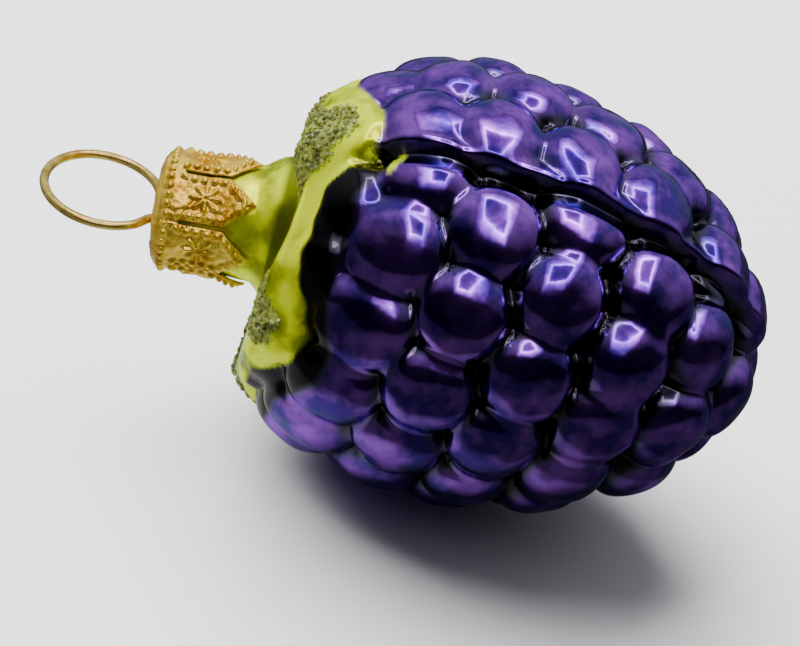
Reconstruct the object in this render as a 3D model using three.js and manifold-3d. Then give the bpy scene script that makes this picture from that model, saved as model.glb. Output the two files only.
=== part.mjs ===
// A mouth-blown glass bramble berry ornament: a hollow glass berry with a calyx and a neck,
// a pressed metal crown cap over the neck, a spring-wire hanger through the cap, and five
// crusts of glass grains glued to the sepals.
//
// Lengths are millimetres. Each piece is built in the ornament's own frame: the origin is the
// middle of the berry's widest place and +Z runs up its axis to the neck. Angles around the axis are degrees
// from +X. The last lines lay the ornament down on its side, as it rests on a table.
import * as THREE from "three";
import Module from "manifold-3d";
import { mergeVertices } from "three/addons/utils/BufferGeometryUtils.js";

const wasm = await Module();
wasm.setup();

// ---- driving dimensions ----
const form = {
  radius: 17.7, // the berry's form under its drupelets, at the widest place
  tip: 27, // from the widest place to the tip of the form
  shoulder: 17.8, // from the widest place to the flat under the calyx
  squareness: 2.4, // exponent of the shoulder's superellipse
  innerRadius: 7.3, // where the flat ends at the neck
  wall: 0.9, // glass thickness
};
const seam = 31.5; // degrees: the mould's two halves met here and on the opposite side
const drupelet = { height: 4.5, radius: 4.6, floor: 1.3, fillet: 1.2 };
const neck = { mouth: 29.9, radius: 5.3, tipsRadius: 5.75, foldRadius: 7, fold: 19 };
const lean = { angle: 8, from: 17.6, to: 20.4, pivot: 17 }; // the neck was drawn off a little askew, towards -Y
const calyx = { sepals: 5, firstSepal: 38, inner: 1.5, outer: 4.4, notch: 12.8, reach: 10.2 };
const sheet = { thickness: 0.3, gap: 0.3 }; // the cap's metal, and its clearance over the glass
const cap = { top: 30.7, tips: 21.2, notch: 24, slitTop: 28.2, petals: 7, firstPetal: 15, slit: 0.5 };
const wire = { radius: 0.45, holeSpacing: 4.4, loop: 5.7, direction: -35, legEnd: 9, tilt: 9, tiltTo: 100 };
const skew = 0.75; // the shoulder stands this much higher towards -Y and lower towards +Y
const grains = { centre: 11, length: 7.4, width: 5.2, thickness: 0.8, gap: 0.3 };
const lying = { pitch: 2.6, roll: -60.35 }; // how far the neck is raised, and the turn about the axis

const columns = 64; // facets round the glass: four for each drupelet of a full ring
const column = 360 / columns; // degrees; the drupelets' centres keep to whole columns
const rowStep = 1.75; // between rings of facets, along the form

const rad = THREE.MathUtils.degToRad;
const smooth = THREE.MathUtils.smoothstep;

// ---- the glass ----

// The form's outline as [radius, height, arc length] from the tip to where the calyx meets the neck.
function formOutline() {
  const steps = 400;
  const power = 2 / form.squareness;
  const line = [];
  for (let i = 0; i <= steps; i++) {
    const angle = (Math.PI * i) / steps;
    const [c, s] = [Math.cos(angle), Math.sin(angle)];
    const point =
      c > 0 ? [form.radius * s, -form.tip * c] : [form.radius * s ** power, form.shoulder * (-c) ** power];
    if (c < 0 && point[0] < form.innerRadius) break;
    const last = line.at(-1);
    const arc = last ? last[2] + Math.hypot(point[0] - last[0], point[1] - last[1]) : 0;
    line.push([...point, arc]);
  }
  return line;
}
const outline = formOutline();
const outlineLength = outline.at(-1)[2];
const arcWhere = (test) => outline.find(test)[2];

// A point on the form at an arc length from the tip, with its outward normal, in the XZ half plane.
function onForm(arc) {
  const i = Math.max(1, outline.findIndex((p) => p[2] >= arc - 1e-9));
  const [a, b] = [outline[i - 1], outline[i]];
  const f = (arc - a[2]) / (b[2] - a[2]);
  const tangent = new THREE.Vector2(b[0] - a[0], b[1] - a[1]).normalize();
  return {
    r: a[0] + f * (b[0] - a[0]),
    z: a[1] + f * (b[1] - a[1]),
    normal: new THREE.Vector2(tangent.y, -tangent.x),
  };
}

const around = (r, z, degrees) =>
  new THREE.Vector3(r * Math.cos(rad(degrees)), r * Math.sin(rad(degrees)), z);

// The mould's halves were cut differently. One has its drupelets in staggered rings, the other in
// staggered rows that follow the seam, and both run into shared rings at the tip.
function drupeletCentres() {
  const centres = [around(0, -form.tip, 0)];
  const add = (z, degrees) => {
    const { r } = onForm(arcWhere((p) => p[1] >= z));
    centres.push(around(r, z, seam + degrees));
  };
  for (let i = 0; i < 5; i++) add(-25.1, 18 + 72 * i);
  for (let i = 0; i < 10; i++) add(-20.4, -27 + 36 * i);
  const rings = [
    [-14.1, 3],
    [-6.5, 1],
    [1, 3],
    [7.6, 1],
    [13.2, 3],
  ];
  for (const [z, first] of rings) {
    for (let i = 0; i < 8; i++) add(Math.min(z + 0.45 * i, 15.5), -(first + 4 * i) * column);
  }
  const rows = [
    [9, 2.5, -5, -12.6],
    [12.6, 7, -0.2, -7.8, -15.4],
  ];
  for (let i = 0; i < 8; i++) for (const z of rows[i % 2]) add(z, (2 + 4 * i) * column);
  return centres;
}
const centres = drupeletCentres();

// How far the drupelets stand off the form at a point of it: domes, joined by rounded valleys.
function drupeletHeight(point) {
  let height = drupelet.floor;
  for (const centre of centres) {
    const share = centre.distanceTo(point) / drupelet.radius;
    if (share >= 1) continue;
    const dome = drupelet.height * Math.sqrt(1 - share ** 3);
    const blend = Math.max(drupelet.fillet - Math.abs(dome - height), 0) / drupelet.fillet;
    height = Math.max(dome, height) + (blend * blend * drupelet.fillet) / 4;
  }
  return height;
}

// The mould's halves didn't quite meet: the rows' side ends in a high bank along the seam, and the
// rings' side starts lower.
function seamStep(height, r, degrees) {
  const fromSeam = r * Math.sin(rad(degrees - seam));
  const apart = Math.abs(fromSeam);
  const here = smooth(r, 4, 9);
  if (fromSeam > -0.2) return Math.max(height, here * (3.4 - 0.09 * apart ** 2));
  const low = drupelet.floor + (height - drupelet.floor) * (0.3 + 0.7 * smooth(apart, 0.3, 3.2));
  return height + (low - height) * here;
}

// How much of the calyx covers the form at a height and an angle: 0 bare, 1 covered.
function sepalCover(z, degrees) {
  const step = 360 / calyx.sepals;
  const from = (((degrees - calyx.firstSepal) % step) + step) % step;
  const aside = Math.min(from, step - from) / (step / 2);
  const edge = calyx.reach + (calyx.notch - calyx.reach) * smooth(aside, 0, 0.8);
  return smooth(z, edge, edge + 1);
}

function outerHeight(arc, degrees) {
  const { r, z } = onForm(arc);
  const domes = seamStep(drupeletHeight(around(r, z, degrees)), r, degrees);
  if (z < calyx.reach) return domes;
  const sepal = calyx.inner + (calyx.outer - calyx.inner) * smooth(r, form.innerRadius, 15.5);
  return domes + (sepal - domes) * sepalCover(z, degrees);
}

// The neck leans over: above lean.from everything turns with it, by lean.angle from lean.to up.
const pivot = new THREE.Vector3(0, 0, lean.pivot);
function leaned(point) {
  const angle = rad(lean.angle) * smooth(point.z, lean.from, lean.to);
  const shoulder = smooth(point.z, 3, 14) * (1 - smooth(point.z, 17.6, 20.4));
  const skewed = point.clone();
  skewed.z -= ((skew * point.y) / 12) * shoulder;
  return skewed.sub(pivot).applyAxisAngle(new THREE.Vector3(1, 0, 0), angle).add(pivot);
}

// The neck's radius at a height: it narrows from the fold to a straight collar under the cap.
function neckRadius(z) {
  const flare = neck.foldRadius - (neck.foldRadius - neck.tipsRadius) * smooth(z, neck.fold, cap.tips);
  return flare - (neck.tipsRadius - neck.radius) * smooth(z, cap.tips, cap.tips + 5);
}

// One wall of the glass as rings of points from the tip to the mouth.
function glassWall(inset) {
  const rows = [];
  const steps = Math.round(outlineLength / rowStep);
  for (let i = 1; i <= steps; i++) {
    const arc = (outlineLength * i) / steps;
    const { r, z, normal } = onForm(arc);
    rows.push((degrees) => {
      const out = outerHeight(arc, degrees) - inset;
      return around(r + normal.x * out, z + normal.y * out, degrees);
    });
  }
  for (const z of [neck.fold, 20.1, cap.tips, 23, 26, neck.mouth]) {
    rows.push((degrees) => around(neckRadius(z) - inset, z, degrees));
  }
  return rows.map((row) => Array.from({ length: columns }, (_, i) => leaned(row(seam + i * column))));
}

// Joins two closed rings of points, of equal length, with triangles that face out. Each four-sided
// cell is cut along its shorter diagonal, which follows the valleys.
function band(triangles, lower, upper) {
  for (let i = 0; i < lower.length; i++) {
    const j = (i + 1) % lower.length;
    const [a, b, c, d] = [lower[i], lower[j], upper[j], upper[i]];
    if (a.distanceTo(c) < b.distanceTo(d)) triangles.push(a, b, c, a, c, d);
    else triangles.push(a, b, d, b, c, d);
  }
}

function fan(triangles, centre, ring) {
  ring.forEach((p, i) => triangles.push(centre, ring[(i + 1) % ring.length], p));
}

function fromTriangles(points) {
  const geometry = new THREE.BufferGeometry();
  geometry.setAttribute("position", new THREE.Float32BufferAttribute(points.flatMap((p) => p.toArray()), 3));
  return geometry;
}

function glassGeometry() {
  const outer = glassWall(0);
  const inner = glassWall(form.wall);
  const triangles = [];
  const tipZ = -form.tip - drupelet.height;
  fan(triangles, new THREE.Vector3(0, 0, tipZ), outer[0]);
  for (let i = 1; i < outer.length; i++) band(triangles, outer[i - 1], outer[i]);
  band(triangles, outer.at(-1), inner.at(-1));
  for (let i = inner.length - 1; i > 0; i--) band(triangles, inner[i], inner[i - 1]);
  fan(triangles, new THREE.Vector3(0, 0, tipZ + form.wall), [...inner[0]].reverse());
  return fromTriangles(triangles);
}

// ---- the cap ----

function solid(geometry, matrix = new THREE.Matrix4()) {
  const bare = geometry.clone().applyMatrix4(matrix);
  bare.deleteAttribute("normal");
  bare.deleteAttribute("uv");
  const merged = mergeVertices(bare, 1e-4);
  const mesh = new wasm.Mesh({
    numProp: 3,
    vertProperties: merged.attributes.position.array,
    triVerts: new Uint32Array(merged.index.array),
  });
  return new wasm.Manifold(mesh);
}

function geometryOf(manifold) {
  const { vertProperties, triVerts } = manifold.getMesh();
  const geometry = new THREE.BufferGeometry();
  geometry.setAttribute("position", new THREE.BufferAttribute(vertProperties, 3));
  geometry.setIndex(new THREE.BufferAttribute(triVerts, 1));
  return geometry;
}

// A cup turned from sheet: flat top, rolled shoulder and a skirt that opens towards the petal tips.
function cupGeometry() {
  const clear = neck.radius + sheet.gap;
  const inside = [
    [0, cap.top - sheet.thickness],
    [clear - 0.9, cap.top - sheet.thickness],
    [clear - 0.25, cap.top - 0.55],
    [clear, cap.top - 1.2],
    ...[26, 24.5, 23, cap.tips].map((z) => [neckRadius(z) + sheet.gap, z]),
  ];
  const outside = inside.map(([r, z], i) => {
    if (i < 2) return [r, z + sheet.thickness];
    return [r + sheet.thickness, i === 2 ? z + 0.2 : z];
  });
  const profile = [...inside, ...outside.reverse()].map(([r, z]) => new THREE.Vector2(r, z));
  profile.push(profile[0].clone());
  const turned = new THREE.LatheGeometry(profile, 48);
  return turned.rotateX(Math.PI / 2);
}

// The cut between two petals: a narrow slit that opens into a V below the notch height.
function slitGeometry() {
  const half = cap.slit / 2;
  const wide = 3.6;
  const shape = new THREE.Shape([
    new THREE.Vector2(-half, cap.slitTop),
    new THREE.Vector2(-half, cap.notch),
    new THREE.Vector2(-wide, cap.tips - 0.4),
    new THREE.Vector2(wide, cap.tips - 0.4),
    new THREE.Vector2(half, cap.notch),
    new THREE.Vector2(half, cap.slitTop),
  ]);
  const cut = new THREE.ExtrudeGeometry(shape, { depth: 7, bevelEnabled: false });
  return cut.rotateX(Math.PI / 2).translate(0, -3, 0);
}

function capGeometry() {
  let made = solid(cupGeometry());
  if (made.volume() < 0) throw new Error("the cup's profile runs the wrong way round");
  for (let i = 0; i < cap.petals; i++) {
    const angle = cap.firstPetal + (360 / cap.petals) * (i + 0.5) + 90;
    made = made.subtract(solid(slitGeometry(), new THREE.Matrix4().makeRotationZ(rad(angle))));
  }
  for (const side of [-1, 1]) {
    const at = around((side * wire.holeSpacing) / 2, cap.top, wire.direction);
    const hole = new THREE.CylinderGeometry(wire.radius + 0.35, wire.radius + 0.35, 4, 12);
    hole.rotateX(Math.PI / 2).translate(at.x, at.y, at.z);
    made = made.subtract(solid(hole));
  }
  return geometryOf(made);
}

// ---- the wire hanger ----

// The wire's centre line: one leg, the round loop above the cap, and the other leg.
function wirePath() {
  const foot = wire.holeSpacing / 2;
  const base = cap.top + 0.2;
  const middle = Math.sqrt(wire.loop ** 2 - foot ** 2);
  const leg = [
    [6.5, wire.legEnd],
    [4.6, 15],
    [3.6, 21],
    [3.2, 26],
    [foot, cap.top - 0.4],
  ];
  const opening = Math.asin(foot / wire.loop);
  const loop = Array.from({ length: 17 }, (_, i) => {
    const angle = opening + ((2 * Math.PI - 2 * opening) * i) / 16 + Math.PI;
    return [-wire.loop * Math.sin(angle), base + middle + wire.loop * Math.cos(angle)];
  });
  const flat = [...leg, ...loop, ...leg.map(([x, z]) => [-x, z]).reverse()];
  // above the cap the loop is bent over a little, towards one side
  const hinge = around(0, base, 0);
  const axis = around(1, 0, wire.tiltTo + 90);
  const points = flat.map(([x, z]) => {
    const at = around(x, z, wire.direction);
    return z < base ? at : at.sub(hinge).applyAxisAngle(axis, rad(wire.tilt)).add(hinge);
  });
  return new THREE.CatmullRomCurve3(points, false, "centripetal");
}

function wireGeometry() {
  const section = new THREE.Shape();
  section.absarc(0, 0, wire.radius, 0, 2 * Math.PI);
  return new THREE.ExtrudeGeometry(section, {
    extrudePath: wirePath(),
    steps: 78,
    curveSegments: 4,
    bevelEnabled: false,
  });
}

// ---- the glued grains ----

// A crust over the middle of one sepal: an oval pad that follows the glass, thin at its rim.
function grainGeometry(degrees) {
  const [rings, spokes] = [3, 16];
  const middle = arcWhere((p) => p[1] > 0 && p[0] < grains.centre);
  const at = (share, spoke, lift) => {
    const turn = (2 * Math.PI * spoke) / spokes;
    const arc = middle - (share * grains.length * Math.cos(turn)) / 2;
    const { r, z, normal } = onForm(arc);
    const angle = degrees + THREE.MathUtils.radToDeg((share * grains.width * Math.sin(turn)) / 2 / r);
    const out = outerHeight(arc, angle) + grains.gap + lift;
    return leaned(around(r + normal.x * out, z + normal.y * out, angle));
  };
  const ring = (share, lift) => Array.from({ length: spokes }, (_, i) => at(share, i, lift));
  const triangles = [];
  const top = Array.from({ length: rings }, (_, i) => (i + 1) / rings);
  const lifts = top.map((share) => grains.thickness * (share === 1 ? 0.35 : 1));
  const upper = top.map((share, i) => ring(share, lifts[i]));
  const lower = top.map((share) => ring(share, 0));
  fan(triangles, at(0, 0, grains.thickness), upper[0].slice().reverse());
  for (let i = 1; i < rings; i++) band(triangles, upper[i], upper[i - 1]);
  band(triangles, lower.at(-1), upper.at(-1));
  for (let i = rings - 1; i > 0; i--) band(triangles, lower[i - 1], lower[i]);
  fan(triangles, at(0, 0, 0), lower[0]);
  return fromTriangles(triangles);
}

// ---- the assembly ----

const lacqueredGlass = new THREE.MeshStandardMaterial({ color: 0x4b1f8f, roughness: 0.08, metalness: 0.9 });
const goldTinplate = new THREE.MeshStandardMaterial({ color: 0xd9a441, roughness: 0.25, metalness: 1 });
const goldWire = new THREE.MeshStandardMaterial({ color: 0xcdb35a, roughness: 0.2, metalness: 1 });
const greenGrains = new THREE.MeshStandardMaterial({ color: 0x8f9e3f, roughness: 0.3, metalness: 0 });

function piece(name, geometry, material) {
  const mesh = new THREE.Mesh(geometry, material);
  mesh.name = name;
  return mesh;
}

const ornament = new THREE.Group();
ornament.add(piece("glass_berry", glassGeometry(), lacqueredGlass));
for (let i = 0; i < calyx.sepals; i++) {
  const angle = calyx.firstSepal + (360 / calyx.sepals) * i;
  ornament.add(piece(`sepal_grains_${i + 1}`, grainGeometry(angle), greenGrains));
}


// The cap and the hanger sit on the leaning neck.
const neckEnd = new THREE.Group();
neckEnd.position.copy(pivot);
neckEnd.rotation.x = rad(lean.angle);
for (const made of [
  piece("crown_cap", capGeometry(), goldTinplate),
  piece("wire_hanger", wireGeometry(), goldWire),
]) {
  made.position.z = -lean.pivot;
  neckEnd.add(made);
}
ornament.add(neckEnd);

// Laid down: rolled about its axis, then turned so that the neck points to -X and a little up.
const rolled = new THREE.Group().add(ornament);
ornament.rotation.z = rad(lying.roll);
rolled.rotation.y = rad(-90 + lying.pitch);

// The origin is on the table, under the middle of the whole.
const object = new THREE.Group().add(rolled);
object.updateMatrixWorld(true);
const box = new THREE.Box3().setFromObject(object, true);
const middle = box.getCenter(new THREE.Vector3());
rolled.position.set(-middle.x, -middle.y, -box.min.z);

export default object;
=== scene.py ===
import math

import bmesh
import bpy
import mathutils
import numpy as np
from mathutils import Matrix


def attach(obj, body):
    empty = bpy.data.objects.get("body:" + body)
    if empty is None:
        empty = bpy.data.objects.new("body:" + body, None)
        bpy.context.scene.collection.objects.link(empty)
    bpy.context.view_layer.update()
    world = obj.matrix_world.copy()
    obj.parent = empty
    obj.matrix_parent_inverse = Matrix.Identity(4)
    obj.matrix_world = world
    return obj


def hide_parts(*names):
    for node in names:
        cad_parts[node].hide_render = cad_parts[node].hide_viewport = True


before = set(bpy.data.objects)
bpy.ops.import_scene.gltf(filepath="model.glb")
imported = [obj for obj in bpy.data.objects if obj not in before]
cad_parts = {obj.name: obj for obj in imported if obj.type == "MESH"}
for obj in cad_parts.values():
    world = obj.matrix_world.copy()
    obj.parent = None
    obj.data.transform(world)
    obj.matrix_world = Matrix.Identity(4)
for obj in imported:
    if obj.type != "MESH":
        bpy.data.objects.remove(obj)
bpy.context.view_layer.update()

# ---- The glass berry ----
# Mouth-blown into a two-part mould, silvered inside and dipped in clear purple lacquer; the neck
# and the five sepals are brushed over by hand with lime green. It is one wall of glass, open at
# the neck, with a fine ridge where the mould's halves met.

WALL = 0.9  # mm, as are all sizes unless they say otherwise
FORM_RADIUS, FORM_TIP, FORM_SHOULDER, SQUARENESS, NECK_SIDE = 17.7, 27.0, 17.8, 2.4, 7.3
SEAM = 31.5  # degrees round the axis; the other seam is opposite
DRUPELET_HEIGHT, DRUPELET_RADIUS, VALLEY_FLOOR, VALLEY_FILLET = 4.5, 4.6, 1.3, 1.2
NECK_MOUTH, NECK_RADIUS, TIPS_RADIUS, FOLD_RADIUS, FOLD = 29.9, 5.3, 5.75, 7.0, 19.0
LEAN, LEAN_FROM, LEAN_TO, LEAN_PIVOT = 8.0, 17.6, 20.4, 17.0  # degrees: the neck was drawn off askew
SKEW = 0.75  # the shoulder stands this much higher on one side, and lower on the other
CAP_TIPS = 21.2  # height of the cap's petal tips
FIRST_SEPAL, SEPAL_STEP = 38.0, 72.0
SEPAL_POINT, SEPAL_NOTCH = 11.0, 13.2  # heights on the form where a sepal's green ends, and between
DRIP_TURN, DRIP_HEIGHT = 26.0, 9.7  # a drip of green that missed the calyx
LYING_PITCH, LYING_ROLL = 2.6, -60.35  # degrees: the neck is raised, and the turn about the axis
LYING_AT = (5.367, 0.031, 21.935)  # the middle of the berry's widest place

lie_down = (
    mathutils.Matrix.Translation(LYING_AT)
    @ mathutils.Matrix.Rotation(math.radians(-90 + LYING_PITCH), 4, "Y")
    @ mathutils.Matrix.Rotation(math.radians(LYING_ROLL), 4, "Z")
)


def smooth(x, low, high):
    """Climbs from 0 at low to 1 at high, level at both ends."""
    t = np.clip((x - low) / (high - low), 0, 1)
    return t * t * (3 - 2 * t)


def laid(points):
    """Points in mm about the ornament's own axis, with +Z up the neck, as metres on the table.
    The neck leans over, and turns everything on it."""
    points = np.array(points, float)
    lean = np.radians(LEAN) * smooth(points[:, 2], LEAN_FROM, LEAN_TO)
    shoulder = smooth(points[:, 2], 3, 14) * (1 - smooth(points[:, 2], LEAN_FROM, LEAN_TO))
    y, z = points[:, 1].copy(), points[:, 2] - LEAN_PIVOT
    z -= SKEW * y / 12 * shoulder
    points[:, 1] = y * np.cos(lean) - z * np.sin(lean)
    points[:, 2] = y * np.sin(lean) + z * np.cos(lean) + LEAN_PIVOT
    turn = np.array(lie_down.to_3x3())
    return (points @ turn.T + np.array(lie_down.translation)) * 0.001


def new_mesh(name, points, faces):
    """A smooth-shaded object made of an array of points and its faces."""
    mesh = bpy.data.meshes.new(name)
    mesh.from_pydata(points.tolist(), [], faces)
    mesh.validate()
    mesh.polygons.foreach_set("use_smooth", [True] * len(mesh.polygons))
    piece = bpy.data.objects.new(name, mesh)
    bpy.context.scene.collection.objects.link(piece)
    return piece


def form_outline():
    """Radius, height and arc length of the berry's form, from its tip to the neck."""
    t = np.linspace(0, math.pi, 4001)
    c, s = np.cos(t), np.sin(t)
    power = 2 / SQUARENESS
    r = np.where(c > 0, FORM_RADIUS * s, FORM_RADIUS * np.abs(s) ** power)
    z = np.where(c > 0, -FORM_TIP * c, FORM_SHOULDER * np.abs(c) ** power)
    keep = (c > 0) | (r >= NECK_SIDE)
    r, z = r[keep], z[keep]
    arc = np.concatenate([[0], np.cumsum(np.hypot(np.diff(r), np.diff(z)))])
    return r, z, arc


form_r, form_z, form_arc = form_outline()


def on_form(arc):
    """Radius, height and outward normal on the form at an arc length."""
    r, z = np.interp(arc, form_arc, form_r), np.interp(arc, form_arc, form_z)
    step = 0.02
    ahead, behind = np.minimum(arc + step, form_arc[-1]), np.maximum(arc - step, 0)
    dr = np.interp(ahead, form_arc, form_r) - np.interp(behind, form_arc, form_r)
    dz = np.interp(ahead, form_arc, form_z) - np.interp(behind, form_arc, form_z)
    size = np.hypot(dr, dz)
    return r, z, dz / size, -dr / size


def drupelet_centres():
    """Staggered rings on one mould half, staggered rows along the seam on the other, shared tip."""
    column = 5.625
    places = [(-FORM_TIP + 1e-6, 0)]
    places += [(-25.1, 18 + 72 * i) for i in range(5)]
    places += [(-20.4, -27 + 36 * i) for i in range(10)]
    for z, first in ((-14.1, 3), (-6.5, 1), (1, 3), (7.6, 1), (13.2, 3)):
        places += [(min(z + 0.45 * i, 15.5), -(first + 4 * i) * column) for i in range(8)]
    rows = ((9, 2.5, -5, -12.6), (12.6, 7, -0.2, -7.8, -15.4))
    for i in range(8):
        places += [(z, (2 + 4 * i) * column) for z in rows[i % 2]]
    z = np.array([p[0] for p in places])
    angle = np.radians(np.array([p[1] for p in places]) + SEAM)
    r = np.interp(z, form_z, form_r)
    r[0] = 0
    return np.stack([r * np.cos(angle), r * np.sin(angle), z], 1)


def wander(points, scale, seed):
    """A smooth random value from about -1 to 1 at each point, over a distance of scale mm."""
    rng = np.random.default_rng(seed)
    total = np.zeros(len(points))
    for _ in range(7):
        way = rng.normal(size=3)
        way *= rng.uniform(0.6, 1.4) * 2 * math.pi / scale / np.linalg.norm(way)
        total += np.sin(points @ way + rng.uniform(0, 2 * math.pi))
    return total / 3


centres = drupelet_centres()
rng = np.random.default_rng(7)
centre_heights = DRUPELET_HEIGHT * rng.uniform(0.95, 1.0, len(centres))
centre_radii = DRUPELET_RADIUS * rng.uniform(0.97, 1.04, len(centres))


def drupelet_height(points):
    """How far the drupelets stand off the form: flattened domes, joined by rounded valleys."""
    height = np.full(len(points), VALLEY_FLOOR)
    for centre, tall, wide in zip(centres, centre_heights, centre_radii):
        share = np.sqrt(((points - centre) ** 2).sum(1)) / wide
        near = share < 1
        dome = tall * np.sqrt(1 - share[near] ** 3)
        under = height[near]
        blend = np.maximum(VALLEY_FILLET - np.abs(dome - under), 0) / VALLEY_FILLET
        height[near] = np.maximum(dome, under) + blend**2 * VALLEY_FILLET / 4
    return height


def seam_step(height, r, turn):
    """The mould's halves didn't quite meet: the rows' side ends in a smooth high bank along the
    seam, with a fine lip, and the rings' side starts lower."""
    from_seam = r * np.sin(turn - np.radians(SEAM))
    apart = np.abs(from_seam)
    here = smooth(r, 4, 9)
    bank = 3.3 + 0.25 * np.cos(apart * 1.2) - 0.09 * apart**2
    high = np.maximum(height, bank * here)
    low = VALLEY_FLOOR + (height - VALLEY_FLOOR) * (0.5 + 0.5 * smooth(apart, 0.2, 2.4))
    low = height + (low - height) * here
    side = smooth(from_seam, -0.45, 0.15)
    lip = 0.22 * np.exp(-(((from_seam - 0.3) / 0.35) ** 2)) * here
    return low + (high - low) * side + lip


def from_spine(angle):
    """0 on a sepal's middle line to 1 halfway to the next sepal."""
    return 1 - np.abs((np.degrees(angle) - FIRST_SEPAL) / SEPAL_STEP % 1 * 2 - 1)


def sepal_edge(angle, points):
    """Height on the form where the green ends, at an angle: five points, cut unevenly by the brush."""
    edge = SEPAL_POINT + (SEPAL_NOTCH - SEPAL_POINT) * smooth(from_spine(angle), 0, 0.8)
    return edge + 0.3 * wander(points, 9, 3) + 0.12 * wander(points, 3, 4)


def outside_height(arc, turn):
    """How far the glass stands off the form, how much green is on it and how much painted shade is in its
    valleys.
    """
    r, z, nr, nz = on_form(arc)
    base = np.stack([r * np.cos(turn), r * np.sin(turn), z], 1)
    out = seam_step(drupelet_height(base), r, turn)
    edge = sepal_edge(turn, base)
    green = smooth(z, edge, edge + 0.3)
    beside = r * ((turn - math.radians(DRIP_TURN) + math.pi) % (2 * math.pi) - math.pi)
    drip = 1 - smooth(np.hypot(beside / 1.4, (z - DRIP_HEIGHT + 0.15 * beside) / 0.5), 0.75, 1.0)
    green = np.maximum(green, drip)
    spine = 1 - smooth(from_spine(turn), 0.1, 0.9)
    sepal = 1.1 + (2.7 + 0.7 * spine) * smooth(r, NECK_SIDE, 12.2) + 0.25 * wander(base, 6, 5)
    cover = smooth(z, edge - 0.1, edge + 0.9)
    # painted shade: the valleys, and a band under the calyx's rim on the rings' side, are marked here to be
    # darkened
    valley = 1 - smooth(out, VALLEY_FLOOR + 0.2, DRUPELET_HEIGHT - 0.4)
    under_rim = smooth(z, edge - 2.6, edge - 1.2) * smooth(-np.sin(turn - np.radians(SEAM)), -0.1, 0.1)
    valley = np.maximum(valley, 0.9 * under_rim) * (1 - cover)
    out = out + (sepal - out) * cover
    out += 0.08 * wander(base, 5, 6) + 0.05 * wander(base, 2.6, 8) + 0.05 * drip
    return out, green, valley


def off_form(arc, turn, out):
    """Points standing off the form by out."""
    r, z, nr, nz = on_form(arc)
    return np.stack([(r + nr * out) * np.cos(turn), (r + nr * out) * np.sin(turn), z + nz * out], -1)


def neck_radius(z):
    """The neck flares out under the cap's petals, and again down to the fold."""
    flare = FOLD_RADIUS - (FOLD_RADIUS - TIPS_RADIUS) * smooth(z, FOLD, CAP_TIPS)
    return flare - (TIPS_RADIUS - NECK_RADIUS) * smooth(z, CAP_TIPS, CAP_TIPS + 5)


def grid_faces(rows, columns):
    """Quads over a grid whose columns close into a ring, facing out where the rows climb."""
    i, j = np.meshgrid(np.arange(rows - 1), np.arange(columns), indexing="ij")
    k = (j + 1) % columns
    quads = np.stack([i * columns + j, i * columns + k, (i + 1) * columns + k, (i + 1) * columns + j], -1)
    return quads.reshape(-1, 4).tolist()


def make_glass():
    columns, count = 340, 215
    angle = np.radians(SEAM) + np.arange(columns) * 2 * math.pi / columns
    arcs = np.linspace(0, form_arc[-1], count + 1)[1:]
    arc, turn = [a.ravel() for a in np.meshgrid(arcs, angle, indexing="ij")]
    out, green, valley = outside_height(arc, turn)
    outside = off_form(arc, turn, out).reshape(count, columns, 3)
    ring = np.stack([np.cos(angle), np.sin(angle)], 1)

    # the neck climbs out of the calyx's fold to the mouth under the cap
    heights = np.linspace(FOLD, NECK_MOUTH, 26)
    first_ring = np.column_stack([ring * neck_radius(FOLD), np.full(columns, FOLD)])
    blend_in = [outside[-1] * (1 - t) + first_ring * t for t in np.linspace(0, 1, 6)[1:-1]]
    neck = [np.column_stack([ring * neck_radius(z), np.full(columns, z)]) for z in heights]
    inner_heights = np.linspace(NECK_MOUTH, FOLD, 8)
    inside = [np.column_stack([ring * (neck_radius(z) - WALL), np.full(columns, z)]) for z in inner_heights]
    for inner_arc in np.linspace(form_arc[-1], 1.5, 16):
        r, z, nr, nz = on_form(inner_arc)
        out = VALLEY_FLOOR - WALL - 0.8
        inside.append(np.column_stack([ring * (r + nr * out), np.full(columns, z + nz * out)]))
    rows = [*outside, *blend_in, *neck, *inside]
    rest = columns * (len(rows) - count)
    # painted shade: the fold where the sepals leave the neck is marked to be darkened, on both sides of it
    above = np.concatenate([np.zeros(4 * columns), np.repeat(heights - FOLD, columns)])
    fold = np.zeros(rest)
    fold[: len(above)] = 0.85 * np.exp(-((above / 0.3) ** 2))
    fields = {
        "fold": np.concatenate([0.85 * np.exp(-(((form_arc[-1] - arc) / 0.6) ** 2)), fold, [0, 0]]),
        "paint": np.concatenate([green, np.ones(rest), [0, 0]]),
        "valley": np.concatenate([valley, np.zeros(rest), [0, 0]]),
    }
    points = np.concatenate(rows)
    faces = grid_faces(len(rows), columns)
    tip, inner_tip = len(points), len(points) + 1
    points = np.vstack([points, [0, 0, -FORM_TIP - DRUPELET_HEIGHT], [0, 0, -FORM_TIP + 0.4]])
    faces += [(tip, (j + 1) % columns, j) for j in range(columns)]
    base = (len(rows) - 1) * columns
    faces += [(inner_tip, base + j, base + (j + 1) % columns) for j in range(columns)]
    piece = new_mesh("glass_berry_blown", laid(points), faces)
    for name, values in fields.items():
        piece.data.attributes.new(name, "FLOAT", "POINT").data.foreach_set("value", values)
    return piece


glass = make_glass()


def linear(hex_colour):
    """An sRGB hex colour as linear RGBA."""
    value = int(hex_colour.lstrip("#"), 16)
    parts = [((value >> shift) & 255) / 255 for shift in (16, 8, 0)]
    return (*[p / 12.92 if p <= 0.04045 else ((p + 0.055) / 1.055) ** 2.4 for p in parts], 1.0)


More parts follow.
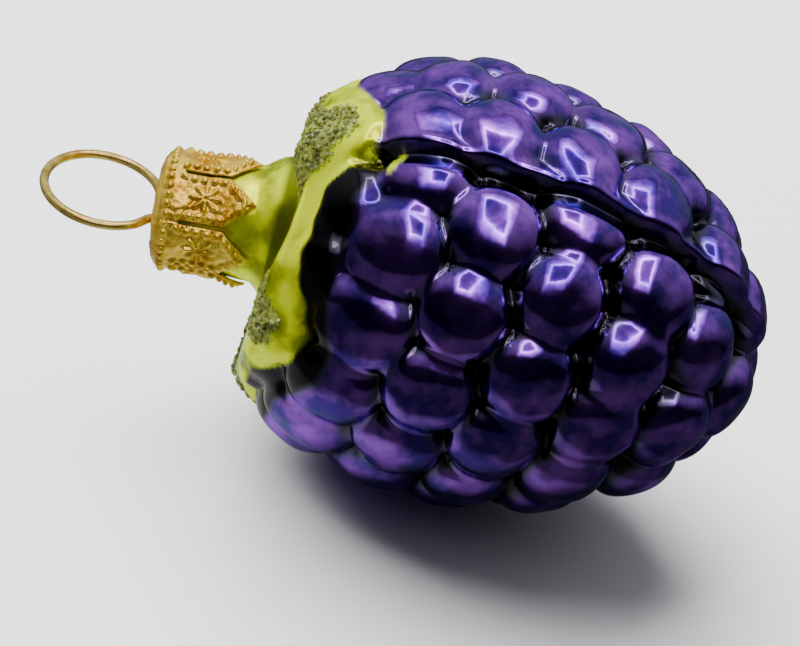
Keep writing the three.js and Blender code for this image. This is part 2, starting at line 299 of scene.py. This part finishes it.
def add(material, kind, links=None, **settings):
    """Adds a node. settings name its properties or input sockets, and links its linked sockets."""
    node = material.node_tree.nodes.new(kind)
    for key in sorted(settings, key=lambda k: not hasattr(node, k)):
        if hasattr(node, key):
            setattr(node, key, settings[key])
        else:
            open_socket(node, key.replace("_", " ")).default_value = settings[key]
    for key, source in (links or {}).items():
        material.node_tree.links.new(source, open_socket(node, key))
    return node


def open_socket(node, name):
    """The node's input of that name that is in use, as a Mix node has several of each."""
    return next(s for s in node.inputs if s.name == name and s.enabled)


def shown(mix):
    """A Mix node's result in the kind of value that it mixes."""
    return next(s for s in mix.outputs if s.enabled)


def new_material(name):
    material = bpy.data.materials.new(name)
    material.use_nodes = True
    material.node_tree.nodes.clear()
    return material


# Silvered glass under clear purple lacquer, brushed with lime green: a mirror seen through colour,
# with the glass's own white gloss over it. The lacquer is cloudy; painted shade turns it grey and
# then nearly black in the valleys. The green has duller olive patches, partly thin paint and partly painted
# dark reflection.
lacquer = new_material("silvered glass, purple lacquer, lime brushwork")
place = add(lacquer, "ShaderNodeTexCoord")
paint = add(lacquer, "ShaderNodeAttribute", attribute_name="paint")
valley = add(lacquer, "ShaderNodeAttribute", attribute_name="valley")
clouds = add(
    lacquer, "ShaderNodeTexNoise", {"Vector": place.outputs["Object"]}, Scale=260.0, Detail=3.0, Roughness=0.6
)
purple = add(lacquer, "ShaderNodeValToRGB", {"Fac": clouds.outputs["Fac"]})
purple.color_ramp.elements[0].position = 0.4
purple.color_ramp.elements[0].color = linear("#4a1ca6")
purple.color_ramp.elements[1].position = 0.62
purple.color_ramp.elements[1].color = linear("#be6aff")
# painted shade and sheen: towards a valley the purple turns to a grey sheen on the drupelet's flank, then to
# nearly black shade
valley_sheen_and_shade = add(lacquer, "ShaderNodeValToRGB", {"Fac": valley.outputs["Fac"]})
valley_sheen_and_shade.color_ramp.elements[0].position = 0.3
valley_sheen_and_shade.color_ramp.elements[0].color = linear("#646878")
valley_sheen_and_shade.color_ramp.elements[1].position = 0.75
valley_sheen_and_shade.color_ramp.elements[1].color = linear("#0e0914")
flank = add(lacquer, "ShaderNodeMapRange", {"Value": valley.outputs["Fac"]}, From_Min=0.1, From_Max=0.5)
purple_with_valley_shade = add(
    lacquer,
    "ShaderNodeMix",
    {"Factor": flank.outputs["Result"], "A": purple.outputs["Color"], "B": valley_sheen_and_shade.outputs["Color"]},
    data_type="RGBA",
)
# the green's dull olive patches are partly thin paint and partly painted dark reflection
brush_and_dark_reflection = add(lacquer, "ShaderNodeTexNoise", {"Vector": place.outputs["Object"]}, Scale=170.0, Detail=4.0)
lime = add(lacquer, "ShaderNodeValToRGB", {"Fac": brush_and_dark_reflection.outputs["Fac"]})
lime.color_ramp.elements[0].position = 0.3
lime.color_ramp.elements[0].color = linear("#5c611e")
lime.color_ramp.elements[1].position = 0.5
lime.color_ramp.elements[1].color = linear("#ecff00")
lime.color_ramp.elements.new(0.41).color = linear("#a0ac08")
# painted shade: the lime turns dark olive in the fold where the sepals leave the neck
fold_shade = add(lacquer, "ShaderNodeAttribute", attribute_name="fold")
lime_with_fold_shade = add(
    lacquer,
    "ShaderNodeMix",
    {"Factor": fold_shade.outputs["Fac"], "A": lime.outputs["Color"]},
    data_type="RGBA",
    B=linear("#4b5212"),
)
colour = add(
    lacquer,
    "ShaderNodeMix",
    {"Factor": paint.outputs["Fac"], "A": shown(purple_with_valley_shade), "B": shown(lime_with_fold_shade)},
    data_type="RGBA",
)
gloss = add(
    lacquer, "ShaderNodeMapRange", {"Value": paint.outputs["Fac"]}, To_Min=0.15, To_Max=0.24
)
mirror = add(
    lacquer, "ShaderNodeMapRange", {"Value": paint.outputs["Fac"]}, To_Min=1.0, To_Max=0.7
)
varnish = add(
    lacquer, "ShaderNodeMapRange", {"Value": paint.outputs["Fac"]}, To_Min=0.75, To_Max=0.15
)
ripples = add(lacquer, "ShaderNodeTexNoise", {"Vector": place.outputs["Object"]}, Scale=420.0, Detail=2.0)
surface = add(
    lacquer, "ShaderNodeBump", {"Height": ripples.outputs["Fac"]}, Strength=0.15, Distance=0.0004
)
glassy = add(
    lacquer,
    "ShaderNodeBsdfPrincipled",
    {
        "Base Color": shown(colour),
        "Roughness": gloss.outputs["Result"],
        "Metallic": mirror.outputs["Result"],
        "Specular Tint": shown(colour),
        "Coat Weight": varnish.outputs["Result"],
        "Normal": surface.outputs["Normal"],
    },
    Coat_Roughness=0.02,
    Coat_IOR=1.5,
)
add(lacquer, "ShaderNodeOutputMaterial", {"Surface": glassy.outputs["BSDF"]})
glass.data.materials.append(lacquer)
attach(glass, "root")
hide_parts("glass_berry")

# ---- The glitter on the sepals ----
# Olive glass grains, some 0.7 mm across, scattered over a patch of glue on the middle of each
# sepal while the glue is wet. They sit shoulder to shoulder and stand up out of it.

# each sepal's patch: its direction in degrees, its distance from the axis, its length and width
GRAIN_PATCHES = (
    (38, 10.9, 7.8, 7.8),
    (110, 11.0, 6.6, 5.2),
    (182, 11.2, 7.4, 5.2),
    (254, 12.6, 7.6, 4.8),
    (326, 11.4, 7.2, 4.4),
)
GRAIN_RADIUS, GRAIN_APART = 0.37, 0.52


def glue_patch(name, degrees, from_axis, long, wide, seed):
    """An uneven oval of glue over one sepal: a low mound with its rim sunk in the glass."""
    middle = np.interp(-from_axis, -form_r[form_z > 0], form_arc[form_z > 0])
    rings, spokes = 16, 48
    turn = np.arange(spokes) * 2 * math.pi / spokes
    ragged = 1 + 0.1 * np.sin(3 * turn + seed) + 0.06 * np.sin(7 * turn + 2 * seed)
    levels = []
    for share in np.linspace(0, 1, rings + 1)[1:]:
        arc = middle - share * long / 2 * ragged * np.cos(turn)
        r = on_form(arc)[0]
        angle = np.radians(degrees) + share * wide / 2 * ragged * np.sin(turn) / r
        lift = 0.42 - 0.62 * share**4
        levels.append(off_form(arc, angle, outside_height(arc, angle)[0] + lift))
    arc, angle = np.array([middle]), np.array([np.radians(degrees)])
    top = off_form(arc, angle, outside_height(arc, angle)[0] + 0.42)
    under = [level - (level - levels[0].mean(0)) * 0.03 for level in levels[::-1]]
    sink = np.array([0, 0, -0.35])
    under = [level + sink for level in under]
    points = np.concatenate([*levels, *under, top, under[-1].mean(0, keepdims=True)])
    count = 2 * rings
    faces = [face[::-1] for face in grid_faces(count, spokes)]
    last = (count - 1) * spokes
    faces += [(count * spokes, j, (j + 1) % spokes) for j in range(spokes)]
    faces += [(count * spokes + 1, last + (j + 1) % spokes, last + j) for j in range(spokes)]
    return new_mesh(name, laid(points), faces)


# Crushed-glass glitter in clear glue: olive, glossy, each grain a little lighter or darker.
glitter = new_material("olive glass glitter in clear glue")
glitter_place = add(glitter, "ShaderNodeTexCoord")
grain_tone = add(
    glitter, "ShaderNodeTexVoronoi", {"Vector": glitter_place.outputs["Object"]}, Scale=1400.0
)
grain_colour = add(glitter, "ShaderNodeValToRGB", {"Fac": grain_tone.outputs["Color"]})
grain_colour.color_ramp.elements[0].position = 0.1
grain_colour.color_ramp.elements[0].color = linear("#5a6420")
grain_colour.color_ramp.elements[1].position = 0.9
grain_colour.color_ramp.elements[1].color = linear("#b0ba52")
chips = add(glitter, "ShaderNodeTexNoise", {"Vector": glitter_place.outputs["Object"]}, Scale=3000.0)
chipped = add(glitter, "ShaderNodeBump", {"Height": chips.outputs["Fac"]}, Strength=0.3, Distance=0.0002)
grain_glass = add(
    glitter,
    "ShaderNodeBsdfPrincipled",
    {"Base Color": grain_colour.outputs["Color"], "Normal": chipped.outputs["Normal"]},
    Roughness=0.12,
    IOR=1.52,
    Transmission_Weight=0.55,
    Coat_Weight=0.5,
)
add(glitter, "ShaderNodeOutputMaterial", {"Surface": grain_glass.outputs["BSDF"]})


def grain_scatter():
    """Scatters faceted grains over a patch of glue, at least a set distance apart."""
    tree = bpy.data.node_groups.new("grain scatter", "GeometryNodeTree")
    sockets = {}
    tree.interface.new_socket("Geometry", in_out="INPUT", socket_type="NodeSocketGeometry")
    for name, kind, value in (
        ("Grain Radius", "NodeSocketFloat", GRAIN_RADIUS * 0.001),
        ("Apart", "NodeSocketFloat", GRAIN_APART * 0.001),
        ("Seed", "NodeSocketInt", 1),
    ):
        socket = tree.interface.new_socket(name, in_out="INPUT", socket_type=kind)
        socket.default_value = value
        sockets[name] = socket.identifier
    tree.interface.new_socket("Geometry", in_out="OUTPUT", socket_type="NodeSocketGeometry")
    node, link = tree.nodes.new, tree.links.new
    given, result = node("NodeGroupInput"), node("NodeGroupOutput")
    scatter = node("GeometryNodeDistributePointsOnFaces")
    scatter.distribute_method = "POISSON"
    scatter.inputs["Density Max"].default_value = 8e6
    grain = node("GeometryNodeMeshIcoSphere")
    grain.inputs["Subdivisions"].default_value = 1
    place = node("GeometryNodeInstanceOnPoints")
    size, spin = node("FunctionNodeRandomValue"), node("FunctionNodeRandomValue")
    size.data_type = spin.data_type = "FLOAT_VECTOR"
    size.inputs[0].default_value, size.inputs[1].default_value = (0.55, 0.55, 0.55), (1.2, 1.2, 1.2)
    spin.inputs[1].default_value = (6.28, 6.28, 6.28)
    real, shade, smoothed = (
        node("GeometryNodeRealizeInstances"),
        node("GeometryNodeSetMaterial"),
        node("GeometryNodeSetShadeSmooth"),
    )
    joined = node("GeometryNodeJoinGeometry")
    shade.inputs["Material"].default_value = glitter
    link(given.outputs["Geometry"], scatter.inputs["Mesh"])
    link(given.outputs["Apart"], scatter.inputs["Distance Min"])
    link(given.outputs["Seed"], scatter.inputs["Seed"])
    link(given.outputs["Grain Radius"], grain.inputs["Radius"])
    link(scatter.outputs["Points"], place.inputs["Points"])
    link(grain.outputs["Mesh"], place.inputs["Instance"])
    link(size.outputs[0], place.inputs["Scale"])
    link(spin.outputs[0], place.inputs["Rotation"])
    link(place.outputs["Instances"], joined.inputs[0])
    link(given.outputs["Geometry"], smoothed.inputs["Geometry"])
    link(smoothed.outputs[0], joined.inputs[0])
    link(joined.outputs[0], real.inputs[0])
    link(real.outputs[0], shade.inputs["Geometry"])
    link(shade.outputs[0], result.inputs[0])
    return tree, sockets


scatter_tree, scatter_sockets = grain_scatter()
for number, spot in enumerate(GRAIN_PATCHES, 1):
    patch = glue_patch(f"sepal_glitter_{number}", *spot, number)
    scattering = patch.modifiers.new("grains", "NODES")
    scattering.node_group = scatter_tree
    scattering[scatter_sockets["Seed"]] = number
    grown = bpy.data.meshes.new_from_object(
        patch.evaluated_get(bpy.context.evaluated_depsgraph_get())
    )
    patch.modifiers.remove(scattering)
    patch.data = grown
    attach(patch, "root")
    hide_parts(f"sepal_grains_{number}")

# ---- The crown cap ----
# Tinplate pressed in one blow into a cup with seven petals, lacquered gold. A bead runs round each
# petal inside its edge, with a starburst in the middle. The petals grip over the neck's flare.

CAP_TOP, CAP_NOTCH, CAP_SLIT_TOP, CAP_SLIT = 30.7, 24.0, 28.3, 0.4
FIRST_PETAL, PETALS, TINPLATE, CAP_CLEAR = 15.0, 7, 0.28, 0.3
HOLE_DIRECTION, HOLE_SPACING = -35.0, 4.4
PETAL_FLARE = (0.1, 0.0, 0.1, 0.15, 0.1, 0.0, 0.3)  # how far each petal's tip stands off the neck


def cap_outline():
    """Radius and height down the cup's outside, from the middle of its top to the petal tips."""
    out = CAP_CLEAR + TINPLATE
    marks = [(0.0, CAP_TOP), (3.9, CAP_TOP), (4.9, CAP_TOP - 0.12)]
    marks += [(5.55, CAP_TOP - 0.5), (5.85, CAP_TOP - 1.15)]
    marks += [(neck_radius(z) + out, z) for z in np.linspace(28.6, CAP_TIPS, 12)]
    marks = np.array(marks)
    length = np.concatenate([[0], np.cumsum(np.hypot(*np.diff(marks, axis=0).T))])
    steps = np.linspace(0, length[-1], 150)
    return np.interp(steps, length, marks[:, 0]), np.interp(steps, length, marks[:, 1])


def embossing(x, z, half, apart):
    """Height of the pressed pattern on a petal, x mm across it at height z; half is its half-width."""
    slope = np.where(z < CAP_NOTCH, 0.7, 1.0)
    inward = (half - np.abs(x)) * slope
    along = np.where(z < CAP_NOTCH, (CAP_NOTCH - z) / 0.7, CAP_NOTCH - z)
    pitch = (along / 0.95) % 1 - 0.5
    bead = np.sqrt(np.clip(1 - ((inward - 0.6) / 0.42) ** 2 - (pitch / 0.46) ** 2, 0, 1))
    bead *= smooth(z, CAP_TIPS + 0.3, CAP_TIPS + 0.9) * (1 - smooth(z, 28.8, 29.0))
    ring = ((apart / 0.95) % 1 - 0.5) / 0.46
    shoulder = np.sqrt(np.clip(1 - ((z - 29.55) / 0.42) ** 2 - ring**2, 0, 1))
    up = z - 26.0
    reach, turn = np.hypot(x, up), np.arctan2(up, x)
    aside = np.abs(reach * np.sin((turn + math.pi / 8) % (math.pi / 4) - math.pi / 8))
    rays = np.clip(1 - aside / 0.3, 0, 1) * smooth(reach, 1.75, 1.2) * smooth(reach, 0, 0.3)
    dish = -0.2 * np.exp(-((reach / 1.4) ** 2))
    return 0.38 * bead + 0.36 * shoulder + 0.34 * rays + dish - 0.1 * smooth(inward, 0.2, 0.0)


def make_cap():
    radius, height = cap_outline()
    across = np.linspace(-1, 1, 55)
    points, faces, first = [], [], 0
    for petal in range(PETALS):
        middle = math.radians(FIRST_PETAL + petal * 360 / PETALS)
        sector = math.pi / PETALS
        z, x = [g.ravel() for g in np.meshgrid(height, across, indexing="ij")]
        r = np.repeat(radius, len(across))
        taper = np.clip((z - CAP_TIPS) / (CAP_NOTCH - CAP_TIPS), 0.06, 1)
        cut = CAP_SLIT / 2 * smooth(CAP_SLIT_TOP - z, 0, 0.25)
        half_angle = (sector - cut / np.maximum(r, 1)) * np.where(z < CAP_NOTCH, taper, 1)
        angle = middle + x * half_angle
        press = embossing(x * half_angle * r, z, half_angle * r, angle * 5.9)
        skirt = smooth(r, 5.5, 5.8)
        body = np.stack([r * np.cos(angle), r * np.sin(angle), z], 1)
        hammered = 0.035 * wander(body, 1.6, 21) + 0.02 * wander(body, 0.8, 22)
        flare = PETAL_FLARE[petal] * smooth(CAP_SLIT_TOP - z, 0, CAP_SLIT_TOP - CAP_TIPS) ** 2
        out = r + (press + hammered) * skirt + flare
        top = 1 - smooth(r, 4.7, 5.6)
        lift = top * (hammered + 0.12 * np.exp(-(((r - 4.2) / 0.25) ** 2)))
        for side in (-1, 1):
            at = np.radians(HOLE_DIRECTION)
            hole = side * HOLE_SPACING / 2 * np.array([math.cos(at), math.sin(at)])
            from_hole = np.hypot(body[:, 0] - hole[0], body[:, 1] - hole[1])
            lift = lift + 0.3 * np.exp(-(((from_hole - 0.6) / 0.22) ** 2))
        points.append(np.stack([out * np.cos(angle), out * np.sin(angle), z + lift], 1))
        columns = len(across)
        i, j = np.meshgrid(np.arange(len(height) - 1), np.arange(columns - 1), indexing="ij")
        start = first + i * columns + j
        quads = np.stack([start, start + columns, start + columns + 1, start + 1], -1)
        faces += quads.reshape(-1, 4).tolist()
        first += len(height) * columns
    piece = new_mesh("crown_cap_pressed", laid(np.concatenate(points)), faces)
    sheet_mesh = bmesh.new()
    sheet_mesh.from_mesh(piece.data)
    bmesh.ops.remove_doubles(sheet_mesh, verts=sheet_mesh.verts, dist=2e-6)
    bmesh.ops.recalc_face_normals(sheet_mesh, faces=sheet_mesh.faces)
    sheet_mesh.to_mesh(piece.data)
    sheet_mesh.free()
    piece.data.polygons.foreach_set("use_smooth", [True] * len(piece.data.polygons))
    metal = piece.modifiers.new("tinplate", "SOLIDIFY")
    metal.thickness, metal.offset = TINPLATE * 0.001, -1
    return piece


cap = make_cap()

# Tinplate under gold lacquer: warm and bright, lighter and darker in patches at random.
gold = new_material("pressed tinplate, gold lacquer")
gold_place = add(gold, "ShaderNodeTexCoord")
tarnish = add(
    gold, "ShaderNodeTexNoise", {"Vector": gold_place.outputs["Object"]}, Scale=520.0, Detail=4.0
)
gold_colour = add(gold, "ShaderNodeValToRGB", {"Fac": tarnish.outputs["Fac"]})
gold_colour.color_ramp.elements[0].position = 0.36
gold_colour.color_ramp.elements[0].color = linear("#cf9c20")
gold_colour.color_ramp.elements[1].position = 0.62
gold_colour.color_ramp.elements[1].color = linear("#ffdc50")
dents = add(gold, "ShaderNodeTexNoise", {"Vector": gold_place.outputs["Object"]}, Scale=1500.0, Detail=3.0)
dented = add(gold, "ShaderNodeBump", {"Height": dents.outputs["Fac"]}, Strength=0.25, Distance=0.0002)
gold_sheet = add(
    gold,
    "ShaderNodeBsdfPrincipled",
    {"Base Color": gold_colour.outputs["Color"], "Normal": dented.outputs["Normal"]},
    Metallic=0.8,
    Roughness=0.25,
)
add(gold, "ShaderNodeOutputMaterial", {"Surface": gold_sheet.outputs["BSDF"]})
cap.data.materials.append(gold)
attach(cap, "root")
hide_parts("crown_cap")

# ---- The wire hanger ----
# One length of brassy spring wire, 0.9 mm thick, bent round a peg into the loop. Its two legs
# go through the cap and spring apart inside the neck, which is all that holds the cap on.

WIRE_RADIUS, LOOP_RADIUS, LOOP_TILT, LOOP_TILT_TO = 0.45, 5.7, 9.0, 100.0


def wire_line():
    """The wire's centre line: up one leg, round the loop and down the other leg."""
    foot, base = HOLE_SPACING / 2, CAP_TOP + 0.2
    middle = math.sqrt(LOOP_RADIUS**2 - foot**2)
    leg = [(6.5, 9), (4.6, 15), (3.6, 21), (3.2, 26), (foot, CAP_TOP - 0.4)]
    opening = math.asin(foot / LOOP_RADIUS)
    turns = opening + (2 * math.pi - 2 * opening) * np.linspace(0, 1, 17) + math.pi
    loop = [(-LOOP_RADIUS * math.sin(a), base + middle + LOOP_RADIUS * math.cos(a)) for a in turns]
    flat = np.array(leg + loop + [(-x, z) for x, z in leg[::-1]])
    at = math.radians(HOLE_DIRECTION)
    line = np.stack([flat[:, 0] * math.cos(at), flat[:, 0] * math.sin(at), flat[:, 1]], 1)
    # above the cap the loop is bent over a little, towards one side
    across = math.radians(LOOP_TILT_TO + 90)
    axis = mathutils.Vector((math.cos(across), math.sin(across), 0))
    tilt = mathutils.Matrix.Rotation(math.radians(LOOP_TILT), 3, axis)
    hinge = np.array([0, 0, base])
    bent = (line - hinge) @ np.array(tilt).T + hinge
    return np.where(line[:, 2:] < base, line, bent)


def eased(line, count):
    """A smooth curve through the points of a line, at even steps."""
    fine = []
    for i in range(len(line) - 1):
        a, b, c, d = (line[min(max(i + k, 0), len(line) - 1)] for k in (-1, 0, 1, 2))
        for t in np.linspace(0, 1, 24, endpoint=False):
            bend = (2 * a - 5 * b + 4 * c - d) * t**2 + (3 * b - a - 3 * c + d) * t**3
            fine.append(0.5 * (2 * b + (c - a) * t + bend))
    fine = np.array([*fine, line[-1]])
    length = np.concatenate([[0], np.cumsum(np.linalg.norm(np.diff(fine, axis=0), axis=1))])
    even = np.linspace(0, length[-1], count)
    return np.stack([np.interp(even, length, fine[:, k]) for k in range(3)], 1)


def make_wire():
    line = eased(wire_line(), 420)
    sides = 20
    at = math.radians(HOLE_DIRECTION + 90)
    level = np.array([math.cos(at), math.sin(at), 0])
    ahead = np.gradient(line, axis=0)
    ahead /= np.linalg.norm(ahead, axis=1, keepdims=True)
    out = np.cross(ahead, level)
    turn = np.arange(sides) * 2 * math.pi / sides
    worn = WIRE_RADIUS * (1 + 0.012 * wander(line, 4, 31))
    c, s = np.cos(turn)[:, None], np.sin(turn)[:, None]
    rings = [p + w * (c * level + s * o) for p, o, w in zip(line, out, worn)]
    points = np.concatenate([*rings, line[:1], line[-1:]])
    count = len(rings)
    faces = grid_faces(count, sides)
    last = (count - 1) * sides
    faces += [(count * sides, (j + 1) % sides, j) for j in range(sides)]
    faces += [(count * sides + 1, last + j, last + (j + 1) % sides) for j in range(sides)]
    piece = new_mesh("wire_hanger_bent", laid(points), faces)
    measured = bmesh.new()
    measured.from_mesh(piece.data)
    bmesh.ops.recalc_face_normals(measured, faces=measured.faces)
    measured.to_mesh(piece.data)
    measured.free()
    return piece


hanger = make_wire()

# Drawn spring wire, brass coloured: a clean bright gloss with fine scuffs and a few dull spots.
brass = new_material("drawn brass-coloured spring wire")
brass_place = add(brass, "ShaderNodeTexCoord")
wear = add(brass, "ShaderNodeTexNoise", {"Vector": brass_place.outputs["Object"]}, Scale=700.0, Detail=3.0)
brass_colour = add(brass, "ShaderNodeValToRGB", {"Fac": wear.outputs["Fac"]})
brass_colour.color_ramp.elements[0].position = 0.35
brass_colour.color_ramp.elements[0].color = linear("#c4a046")
brass_colour.color_ramp.elements[1].position = 0.6
brass_colour.color_ramp.elements[1].color = linear("#f2d878")
scuffs = add(brass, "ShaderNodeTexNoise", {"Vector": brass_place.outputs["Object"]}, Scale=2600.0)
scuffed = add(brass, "ShaderNodeBump", {"Height": scuffs.outputs["Fac"]}, Strength=0.15, Distance=0.0001)
wire_metal = add(
    brass,
    "ShaderNodeBsdfPrincipled",
    {"Base Color": brass_colour.outputs["Color"], "Normal": scuffed.outputs["Normal"]},
    Metallic=0.9,
    Roughness=0.24,
)
add(brass, "ShaderNodeOutputMaterial", {"Surface": wire_metal.outputs["BSDF"]})
hanger.data.materials.append(brass)
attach(hanger, "root")
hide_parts("wire_hanger")

# ---- The table, the light and the camera ----
# White paper under a bright far wall and ceiling, with the room dark on the near side. A large
# overhead window frame gives the drupelets their outlined highlights.

bpy.ops.mesh.primitive_plane_add(size=3.0)
table = bpy.context.object
table.name = "table"
paper = new_material("white paper")
paper_place = add(paper, "ShaderNodeTexCoord")
fibres = add(paper, "ShaderNodeTexNoise", {"Vector": paper_place.outputs["Object"]}, Scale=900.0, Detail=2.0)
tone = add(paper, "ShaderNodeValToRGB", {"Fac": fibres.outputs["Fac"]})
tone.color_ramp.elements[0].color = linear("#e2e4e2")
tone.color_ramp.elements[1].color = linear("#e8eae8")
# painted shade: in reflections the paper is darkened, half-way within 10 mm of the middle and almost wholly
# beyond 45 mm, standing in for the berry's shadow and the dark room
away = add(paper, "ShaderNodeVectorMath", {"Vector": paper_place.outputs["Object"]}, operation="LENGTH")
reflected_shade_by_distance = add(
    paper,
    "ShaderNodeMapRange",
    {"Value": away.outputs["Value"]},
    From_Min=0.01,
    From_Max=0.045,
    To_Min=0.5,
    To_Max=0.98,
)
ray = add(paper, "ShaderNodeLightPath")
reflected_shade = add(
    paper, "ShaderNodeMath", {"Value": ray.outputs["Is Glossy Ray"]}, operation="MULTIPLY"
)
paper.node_tree.links.new(reflected_shade_by_distance.outputs["Result"], reflected_shade.inputs[1])
paper_with_reflected_shade = add(
    paper,
    "ShaderNodeMix",
    {"Factor": reflected_shade.outputs["Value"], "A": tone.outputs["Color"]},
    data_type="RGBA",
    B=linear("#101012"),
)
sheet = add(paper, "ShaderNodeBsdfPrincipled", {"Base Color": shown(paper_with_reflected_shade)}, Roughness=0.7)
sheet.inputs["Specular IOR Level"].default_value = 0.1
add(paper, "ShaderNodeOutputMaterial", {"Surface": sheet.outputs["BSDF"]})
table.data.materials.append(paper)

soft = bpy.data.lights.new("softbox", "AREA")
soft.shape, soft.size, soft.size_y, soft.energy = "RECTANGLE", 1.3, 1.1, 56
softbox = bpy.data.objects.new("softbox", soft)
softbox.location = (-0.44, 0.4, 0.85)
softbox.rotation_euler = (-softbox.location).to_track_quat("-Z", "Y").to_euler()
softbox.visible_glossy = False
bpy.context.scene.collection.objects.link(softbox)

bpy.ops.mesh.primitive_plane_add(size=1.0, location=(0.02, -0.14, 0.62))
window = bpy.context.object
window.name = "window_frame"
window.scale = (0.72, 1.12, 1)
pane = new_material("window light")
pane_place = add(pane, "ShaderNodeTexCoord")
split = add(pane, "ShaderNodeSeparateXYZ", {"Vector": pane_place.outputs["Object"]})
across = add(pane, "ShaderNodeMath", {"Value": split.outputs["X"]}, operation="ABSOLUTE")
along = add(pane, "ShaderNodeMath", {"Value": split.outputs["Y"]}, operation="ABSOLUTE")
edge = add(pane, "ShaderNodeMath", {"Value": across.outputs["Value"]}, operation="MAXIMUM")
pane.node_tree.links.new(along.outputs["Value"], edge.inputs[1])
# dim inside, a bright border, then a glow that fades outwards, by distance from the middle
glare = add(pane, "ShaderNodeValToRGB", {"Fac": edge.outputs["Value"]})
glare.color_ramp.elements[0].color = (0.02, 0.015, 0.03, 1)
glare.color_ramp.elements[1].position = 0.5
glare.color_ramp.elements[1].color = (0.0, 0.0, 0.0, 1)
for position, level in ((0.215, 0.05), (0.228, 1.0), (0.242, 1.0), (0.258, 0.28), (0.34, 0.12)):
    glare.color_ramp.elements.new(position).color = (level * 0.88, level * 0.75, level, 1)
glow = add(pane, "ShaderNodeEmission", {"Color": glare.outputs["Color"]}, Strength=14.0)
add(pane, "ShaderNodeOutputMaterial", {"Surface": glow.outputs["Emission"]})
window.data.materials.append(pane)
window.visible_camera = window.visible_diffuse = window.visible_shadow = False

world = bpy.data.worlds.new("room")
bpy.context.scene.world = world
world.use_nodes = True
world.node_tree.nodes.clear()
sky_place = add(world, "ShaderNodeTexCoord")
facing = add(
    world, "ShaderNodeVectorMath", {"Vector": sky_place.outputs["Generated"]}, operation="DOT_PRODUCT"
)
facing.inputs[1].default_value = (0.0, 0.6, 0.8)
lit = add(world, "ShaderNodeValToRGB", {"Fac": facing.outputs["Value"]})
lit.color_ramp.elements[0].position = 0.05
lit.color_ramp.elements[0].color = linear("#1c1b23")
lit.color_ramp.elements[1].position = 0.75
lit.color_ramp.elements[1].color = linear("#c4c6cc")
room = add(world, "ShaderNodeBackground", {"Color": lit.outputs["Color"]}, Strength=0.85)
add(world, "ShaderNodeOutputWorld", {"Surface": room.outputs["Background"]})

eye = bpy.data.cameras.new("camera")
eye.lens, eye.sensor_width, eye.clip_start = 67.5, 36, 0.005
camera = bpy.data.objects.new("camera", eye)
camera.location = (-0.01215, -0.12906, 0.09629)
camera.rotation_euler = [math.radians(a) for a in (56.73, -15.422, 4.055)]
bpy.context.scene.collection.objects.link(camera)
bpy.context.scene.camera = camera
